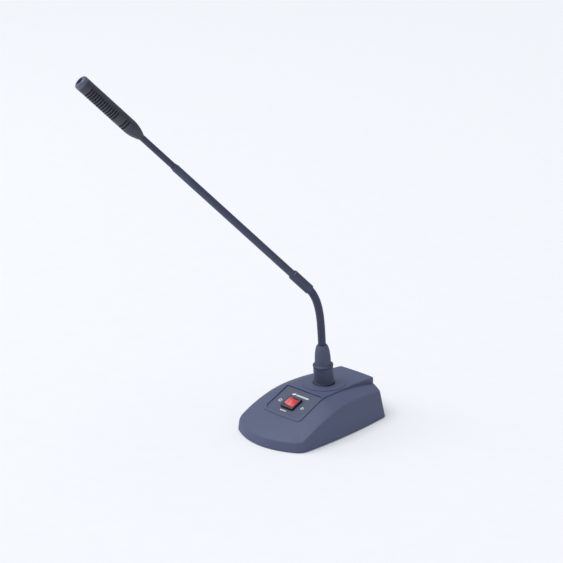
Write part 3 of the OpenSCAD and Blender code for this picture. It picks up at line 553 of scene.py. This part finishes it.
PLATE_T, PLATE_HOLE, PRINT_T = 1.45, 6.5, 0.12
plate_rings = [panel_outline(0, -PLATE_T), panel_outline(0, -0.15), panel_outline(-0.15, 0)]
hole = [rounded_rect(PLATE_HOLE, PLATE_HOLE, 0.3, z, 8, (SWITCH_X, PANEL_MID)) for z in (0, -PLATE_T)]
points, faces = rings_mesh(plate_rings + hole, close_ends=False)
n = len(plate_rings[0])
faces += [(4 * n + i, 4 * n + (i + 1) % n, (i + 1) % n, i) for i in range(n)]
piece("panel_face", points, faces, AT_PANEL, "panel", "base", replaces=["panel_plate"])


def print_block(parts):
    """Thin raised shapes, each a closed plan polygon."""
    points, faces = [], []
    for plan in parts:
        n, at = len(plan), len(points)
        points += [(x, y, z) for z in (0, PRINT_T) for x, y in plan]
        faces += [tuple(at + i for i in range(n))[::-1], tuple(at + n + i for i in range(n))]
        faces += [(at + i, at + (i + 1) % n, at + n + (i + 1) % n, at + n + i) for i in range(n)]
    return points, faces


def bar(x, y, w, h, lean=0.0):
    """A rule from its lower left corner, its top shifted by lean."""
    return [(x, y), (x + w, y), (x + w + lean, y + h), (x + lean, y + h)]


def ellipse(x, y, a, b, sides=24, tilt=0.0):
    out = []
    for k in range(sides):
        t = 2 * math.pi * k / sides
        out.append((x + a * math.cos(t) * math.cos(tilt) - b * math.sin(t) * math.sin(tilt),
                    y + a * math.cos(t) * math.sin(tilt) + b * math.sin(t) * math.cos(tilt)))
    return out


def crescent(x, y, r, thick, a0, a1, steps):
    """A band of a ring between two angles."""
    return arc(x, y, r, a0, a1, steps) + arc(x, y, r - thick, a0, a1, steps)[::-1]


marks = [ellipse(-6.8, PANEL_MID + 11.6, 2.2, 1.1, 24, 0.35)]
marks += [bar(-3.9 + 2.15 * k, PANEL_MID + 10.7, 1.7, 1.8, 0.25) for k in range(7)]
marks += [bar(-5.4 + 1.9 * k, PANEL_MID - 11.1, 1.35, 1.2) for k in range(4)]
marks += [crescent(-14.4, PANEL_MID - 0.4, 1.8, 0.65, 0, 352, 30)]
marks += [bar(12.8, PANEL_MID - 2.3, 0.8, 3.2), crescent(14.0, PANEL_MID - 0.7, 1.5, 0.5, -80, 80, 12)]
piece("panel_print", *print_block(marks), AT_PANEL, "marks", "base", replaces=["panel_marks"])

bezel = [rounded_rect(BODY_HALF, BODY_HALF, 0.4, z) for z in (-12, 0.03)]
bezel += [rounded_rect(BEZEL_HALF, BEZEL_HALF, 0.9, z) for z in (0.03, BEZEL_H - BEZEL_ROUND)]
for a in (30, 60, 90):
    half = BEZEL_HALF - BEZEL_ROUND * (1 - math.cos(math.radians(a)))
    rise = BEZEL_ROUND * math.sin(math.radians(a))
    bezel.append(rounded_rect(half, half, 0.8, BEZEL_H - BEZEL_ROUND + rise))
bezel += [rounded_rect(*OPENING, 0.5, BEZEL_H), rounded_rect(*WELL, 0.4, BEZEL_H - 0.2),
          rounded_rect(*WELL, 0.4, -10.4)]
piece("switch_body", *rings_mesh(bezel), AT_SWITCH, "switch_body", "base", replaces=["switch_housing"])

AT_ROCKER = AT_SWITCH @ move(0, 0, PIVOT_H) @ turn("Y", ROCKER_SWING / 2)
half_l, top_mid, top_end = ROCKER_L / 2, BEZEL_H - PIVOT_H - 0.2, BEZEL_H - PIVOT_H + 0.7
plan = [(-half_l + 0.35, -1.2), (-3.2, -2.6), (3.2, -2.6), (half_l - 0.35, -1.2), (half_l - 0.02, 0.4),
        (half_l - 0.28, top_end - 0.1), (half_l * 0.5, (top_mid + top_end) / 2 - 0.12), (0, top_mid),
        (-half_l * 0.5, (top_mid + top_end) / 2 - 0.12), (-half_l + 0.28, top_end - 0.1),
        (-half_l + 0.02, 0.4)]
m = len(plan)
points = [(x, y, z) for y in (-ROCKER_W / 2, ROCKER_W / 2) for x, z in plan]
faces = [tuple(range(m)), tuple(range(m, 2 * m))[::-1]]
faces += [(i, (i + 1) % m, m + (i + 1) % m, m + i) for i in range(m)]
piece("rocker_cap", points, faces, AT_ROCKER, "rocker", "rocker", smooth_angle=25, bevel=(0.3, 3, 50),
      replaces=["switch_rocker"])

# ---------- plug, boot and the neck ----------
shell = [(8.1, -14), (PLUG_R - 0.3, -14), (PLUG_R - 0.3, 0.95), (PLUG_R + 0.35, 1.0)]
shell += arc(PLUG_R + 0.2, 1.4, 0.35, -60, 60, 4) + [(PLUG_R + 0.05, 2.2), (PLUG_R - 0.1, 3.0)]
shell += [(PLUG_R - 0.1, 16.6), (PLUG_R - 0.22, 16.75), (PLUG_R - 0.55, 16.85), (PLUG_R - 0.55, 17.4),
          (PLUG_R + 0.05, 17.5), (PLUG_R + 0.22, 17.65)]
shell += [(PLUG_R + 0.22, PLUG_H - 1.2)] + arc(PLUG_R - 0.23, PLUG_H - 1.2, 0.45, 0, 50, 3)
shell += [(PLUG_R - 1.0, PLUG_H - 0.1), (PLUG_R - 1.2, PLUG_H), (7.9, PLUG_H - 0.05), (7.85, PLUG_H - 0.2),
          (7.85, 17), (6.65, 17), (6.65, 7), (8.1, 6.8)]
piece("plug_body", *lathe(shell, 128), AT_SOCKET, "plug_paint", "plug", smooth_angle=25,
      replaces=["plug_shell"])

boot = [(LOWER_R + 0.08, 17.1), (7.78, 17.1), (7.78, PLUG_H - 0.2), (7.62, PLUG_H + 0.25)]
for k in range(25):
    u = k / 24
    boot.append((4.7 + 2.92 * (1 - u * u) ** 0.6, PLUG_H + 1.5 + (BOOT_TOP - 0.5 - PLUG_H - 1.5) * u))
boot += [(4.6, BOOT_TOP - 0.15), (4.3, BOOT_TOP), (LOWER_R + 0.08, BOOT_TOP)]
piece("boot_sleeve", *lathe(boot, 96), AT_SOCKET, "boot", "plug", smooth_angle=35, replaces=["plug_boot"])


WIND_LOWER, WIND_UPPER = LOWER_PITCH / 5, UPPER_PITCH / 5
DEPTH_LOWER, DEPTH_UPPER = 0.16, 0.11
STRAIGHT_BELOW = 0.05
CORE_START = 8.8
TUBE_START, TUBE_END = 14.4, STEM_LEN - SHOULDER_LEN - 4


def coil(radius, depth, pitch, s):
    """Radius of a tightly wound sleeve at arc length s."""
    wave = abs(math.sin(math.pi * s / pitch)) ** 0.7
    return radius - depth * (1 - wave)


def sleeve(name, frames, radius, depth, pitch, start_s, look, body=None, blend=None, replaces=(), sides=40):
    """A wound tube along frames, each (matrix, arc length)."""
    rings = []
    for matrix, s in frames:
        r = coil(radius, depth, pitch, start_s + s)
        rings.append([tuple(matrix @ Vector(p)) for p in circle(r, 0, sides)])
    points, faces = rings_mesh(rings)
    obj = piece(name, points, faces, Matrix.Identity(4), look, None, smooth_angle=75)
    if blend:
        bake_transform(obj)
    else:
        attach(obj, body)
    finish_piece(replaces)
    return obj


def arc_frames(hinge, bend, half, steps):
    """Frames along the arc that joins two links tangentially at a hinge. hinge is the frame past its bend."""
    before = hinge @ turn("X", -bend)
    out = []
    for k in range(steps + 1):
        t = k / steps
        if bend < STRAIGHT_BELOW:
            out.append((before @ move(0, 0, -half + 2 * half * t), 2 * half * t))
            continue
        radius = half / math.tan(math.radians(bend / 2))
        angle = bend * t
        base = before @ move(0, 0, -half)
        y = -radius * (1 - math.cos(math.radians(angle)))
        z = radius * math.sin(math.radians(angle))
        out.append((base @ move(0, y, z) @ turn("X", angle), 2 * half * t))
    return out


core_end = LOWER_START - LOWER_PITCH / 2
heights = [CORE_START + (core_end - CORE_START) * k / 10 for k in range(11)]
straight = [(AT_NECK @ move(0, 0, z), 0.5 * WIND_LOWER) for z in heights]
sleeve("neck_core", straight, LOWER_R - 0.05, 0, WIND_LOWER, 0, "flex", body="plug",
       replaces=["lower_flex_root"])
bodies = ["plug"] + ["lower_%d" % i for i in range(1, LOWER_N)] + ["stem"]
swaps = ["lower_link_%d" % i for i in range(1, LOWER_N)] + ["lower_flex_end"]
for i in range(LOWER_N):
    path = arc_frames(LOWER[i], hinge_bend(i + 1), LOWER_PITCH / 2, 60)
    sleeve("neck_lower_%d" % (i + 1), path, LOWER_R, DEPTH_LOWER, WIND_LOWER, i * LOWER_PITCH, "flex",
           blend=(bodies[i], bodies[i + 1]), replaces=[swaps[i]])

ferrule = [(LOWER_R + 0.06, 0.0), (FERRULE_R - 0.35, 0.0), (FERRULE_R - 0.1, 0.12), (FERRULE_R, 0.45)]
ferrule += [(FERRULE_R, 8.0), (FERRULE_R, 16.0), (FERRULE_R, 20.6)]
ferrule += arc(FERRULE_R - 1.15, FERRULE_LEN - 2.1, 1.15, 0, 75, 6)
ferrule += [(STEM_R + 0.06, FERRULE_LEN - 0.6), (STEM_R + 0.06, 12.2), (LOWER_R + 0.06, 12.0)]
piece("neck_ferrule", *lathe(ferrule, 80), AT_STEM @ move(0, 0, FERRULE_GAP), "neck_paint", "stem",
      smooth_angle=35, replaces=["lower_ferrule"])
tube = [(STEM_R - 0.8, TUBE_START)]
tube += [(STEM_R, TUBE_START + (TUBE_END - TUBE_START) * k / 12) for k in range(13)]
tube += [(STEM_R - 0.8, TUBE_END)]
piece("stem_skin", *lathe(tube, 80), AT_STEM, "neck_paint", "stem", smooth_angle=35, replaces=["stem_tube"])
collar = [(UPPER_R + 0.05, -SHOULDER_LEN - 3.95), (STEM_R, -SHOULDER_LEN - 3.95)]
collar += [(STEM_R, -SHOULDER_LEN - 0.7)]
collar += [(STEM_R + 0.18, -SHOULDER_LEN - 0.4), (STEM_R + 0.18, -SHOULDER_LEN - 0.1)]
collar += [(STEM_R - 0.05, -SHOULDER_LEN + 0.15)]
collar += [(UPPER_R + 0.2, -0.1), (UPPER_R + 0.05, 0)]
piece("stem_shoulder", *lathe(collar, 80), AT_SHOULDER, "neck_paint", "stem", smooth_angle=22,
      replaces=["upper_ferrule"])

path = [(AT_SHOULDER @ move(0, 0, -7.0 + 8.0 * k / 40), 8.0 * k / 40) for k in range(41)]
sleeve("neck_upper_root", path, UPPER_R, DEPTH_UPPER, WIND_UPPER, -8.0, "flex", body="stem",
       replaces=["upper_flex_root"])
bodies = ["stem"] + ["upper_%d" % i for i in range(1, UPPER_N)] + ["capsule"]
swaps = ["upper_link_%d" % i for i in range(1, UPPER_N)] + ["upper_flex_end"]
for i in range(UPPER_N):
    hinge = AT_SHOULDER @ move(0, 0, UPPER_START + UPPER_PITCH * i)
    path = arc_frames(hinge, 0, UPPER_PITCH / 2, 50)
    sleeve("neck_upper_%d" % (i + 1), path, UPPER_R, DEPTH_UPPER, WIND_UPPER, i * UPPER_PITCH, "flex",
           blend=(bodies[i], bodies[i + 1]), replaces=[swaps[i]])

# ---------- capsule ----------
tail = [(UPPER_R + 0.06, 0.02), (UPPER_R + 0.25, 0.0), (UPPER_R + 0.4, 0.3)]
for k in range(1, 19):
    u = k / 18
    tail.append((UPPER_R + 0.4 + (CAP_R - UPPER_R - 0.4) * math.sin(math.radians(90 * u ** 0.9)),
                 0.4 + (TAIL_LEN - 0.45) * u))
tail += [(LINER_R - 0.3, TAIL_LEN), (LINER_R - 0.3, TAIL_LEN + 3), (4.2, TAIL_LEN + 3), (4.2, TAIL_LEN)]
tail += [(1.7, 6.2), (UPPER_R + 0.06, 6.1)]
piece("capsule_cone", *lathe(tail, 96), AT_CAPSULE, "capsule_paint", "capsule", smooth_angle=30,
      replaces=["capsule_tail"])


def slotted_tube(length, r_out, r_in, slots, width, sides=72):
    """Tube open below its spine at each slot; every face is a quad."""
    h = r_out * math.sin(math.radians(SPINE_ANGLE))
    a_out, a_in = math.degrees(math.asin(h / r_out)), math.degrees(math.asin(h / r_in))
    spine = SPINE_SIDES
    rest = sides - spine
    outer, inner = [], []
    for k in range(sides):
        if k < spine:
            t = k / spine
            ao, ai = a_out + (180 - 2 * a_out) * t, a_in + (180 - 2 * a_in) * t
        else:
            t = (k - spine) / rest
            ao, ai = 180 - a_out + (180 + 2 * a_out) * t, 180 - a_in + (180 + 2 * a_in) * t
        outer.append((r_out * math.cos(math.radians(ao)), r_out * math.sin(math.radians(ao))))
        inner.append((r_in * math.cos(math.radians(ai)), r_in * math.sin(math.radians(ai))))
    levels, solid = [0.05], []
    for s in sorted(slots, reverse=True):
        levels += [CAP_LEN - s - width / 2, CAP_LEN - s + width / 2]
        solid += [True, False]
    levels.append(length)
    solid.append(True)
    points = [(x, y, z) for z in levels for x, y in outer + inner]
    row, faces = 2 * sides, []
    for j, full in enumerate(solid):
        low, high = j * row, (j + 1) * row
        for k in range(sides):
            q = (k + 1) % sides
            if full or k < spine:
                faces.append((low + k, low + q, high + q, high + k))
                faces.append((low + sides + q, low + sides + k, high + sides + k, high + sides + q))
        if not full:
            for k in (0, spine):
                faces.append((low + k, low + sides + k, high + sides + k, high + k))
            for base in (low, high):
                for k in range(spine, sides):
                    q = (k + 1) % sides
                    faces.append((base + k, base + q, base + sides + q, base + sides + k))
    for base in (0, len(solid) * row):
        for k in range(sides):
            q = (k + 1) % sides
            faces.append((base + k, base + q, base + sides + q, base + sides + k))
    return points, faces


piece("capsule_tube", *slotted_tube(CAP_LEN - NOSE_LEN, CAP_R, LINER_R, SLOTS, SLOT_W),
      AT_CAPSULE @ move(0, 0, TAIL_LEN), "capsule_paint", "capsule", smooth_angle=30, bevel=(0.14, 2, 55),
      replaces=["capsule_housing"])
nose = [(4.7, 0.08), (CAP_R - 0.12, 0.08), (CAP_R, 0.2)]
NOSE_IN, NOSE_UP = 2.9, 2.6
nose += [(CAP_R - NOSE_IN + NOSE_IN * math.cos(math.radians(a)),
          NOSE_LEN - NOSE_UP + NOSE_UP * math.sin(math.radians(a))) for a in range(0, 86, 8)]
nose += [(3.62, NOSE_LEN - 0.02), (3.5, NOSE_LEN - 0.12), (3.45, NOSE_LEN - 0.4), (3.45, 1.5), (4.7, 1.5)]
piece("nose_cap", *lathe(nose, 96), AT_CAPSULE @ move(0, 0, TAIL_LEN + CAP_LEN - NOSE_LEN), "nose_paint",
      "capsule", smooth_angle=35, replaces=["nose_ring"])

# ---------- materials of the CAD nodes ----------
for name, obj in NODES.items():
    obj.data.materials.clear()
    obj.data.materials.append(LOOKS[SLOT_OF[name]].material)

# ---------- camera, light and floor ----------
# HALF_VIEW is half the width that the camera sees at its DISTANCE, both in mm
AZ, EL, DISTANCE = math.radians(44.0), math.radians(18.9), 1500.0
AIM_RIGHT, AIM_UP, HALF_VIEW = -28.3, 131.9, 265.566
SUN_POWER, SUN_SPREAD, SUN_WAY = 2.0, 55, (0.2, 0.24, -0.95)
FLOOR_HALF = 6
right = Vector((math.cos(AZ), math.sin(AZ), 0))
up = Vector((-math.sin(AZ) * math.sin(EL), math.cos(AZ) * math.sin(EL), math.cos(EL)))
back = Vector((math.sin(AZ) * math.cos(EL), -math.cos(AZ) * math.cos(EL), math.sin(EL)))
place = (AIM_RIGHT * right + AIM_UP * up + DISTANCE * back + Vector((0, 0, FOOT_GAP))) / 1000
camera = bpy.data.objects.new("camera", bpy.data.cameras.new("camera"))
bpy.context.scene.collection.objects.link(camera)
camera.matrix_world = Matrix(((right.x, up.x, back.x, place.x), (right.y, up.y, back.y, place.y),
                              (right.z, up.z, back.z, place.z), (0, 0, 0, 1)))
camera.data.angle = 2 * math.atan(HALF_VIEW / DISTANCE)
camera.data.clip_end = 50
camera.data.dof.use_dof = False
bpy.context.scene.camera = camera

world = bpy.data.worlds.new("studio")
bpy.context.scene.world = world
world.use_nodes = True
world.node_tree.nodes["Background"].inputs["Color"].default_value = (0.96, 0.98, 1.0, 1)
world.node_tree.nodes["Background"].inputs["Strength"].default_value = 0.40


def softbox(name, where, aim, size, watts, colour):
    light = bpy.data.lights.new(name, "AREA")
    light.shape = "RECTANGLE"
    light.size, light.size_y = size
    light.energy = watts
    light.color = colour
    obj = bpy.data.objects.new(name, light)
    bpy.context.scene.collection.objects.link(obj)
    direction = Vector(aim) - Vector(where)
    obj.matrix_world = Matrix.Translation(where) @ direction.to_track_quat("-Z", "Y").to_matrix().to_4x4()


sun = bpy.data.lights.new("soft_sun", "SUN")
sun.energy = SUN_POWER
sun.angle = math.radians(SUN_SPREAD)
sun_obj = bpy.data.objects.new("soft_sun", sun)
bpy.context.scene.collection.objects.link(sun_obj)
sun_obj.matrix_world = Vector(SUN_WAY).to_track_quat("-Z", "Y").to_matrix().to_4x4()
softbox("key", (-2.2, -1.3, 0.9), (0, 0, 0.15), (1.2, 1.2), 9.0, (1.0, 0.99, 0.97))

floor_mesh = bpy.data.meshes.new("floor")
corners = [(FLOOR_HALF * x, FLOOR_HALF * y, 0) for x, y in ((-1, -1), (1, -1), (1, 1), (-1, 1))]
floor_mesh.from_pydata(corners, [], [(0, 1, 2, 3)])
floor = bpy.data.objects.new("floor", floor_mesh)
bpy.context.scene.collection.objects.link(floor)
floor_look = Look("floor", (243, 246, 251), 0.9, grain=1.5, grain_bump=0.02, cloud=0.006, wear=0, edge=0)
floor.data.materials.append(floor_look.material)
bpy.context.scene.view_settings.view_transform = "Standard"
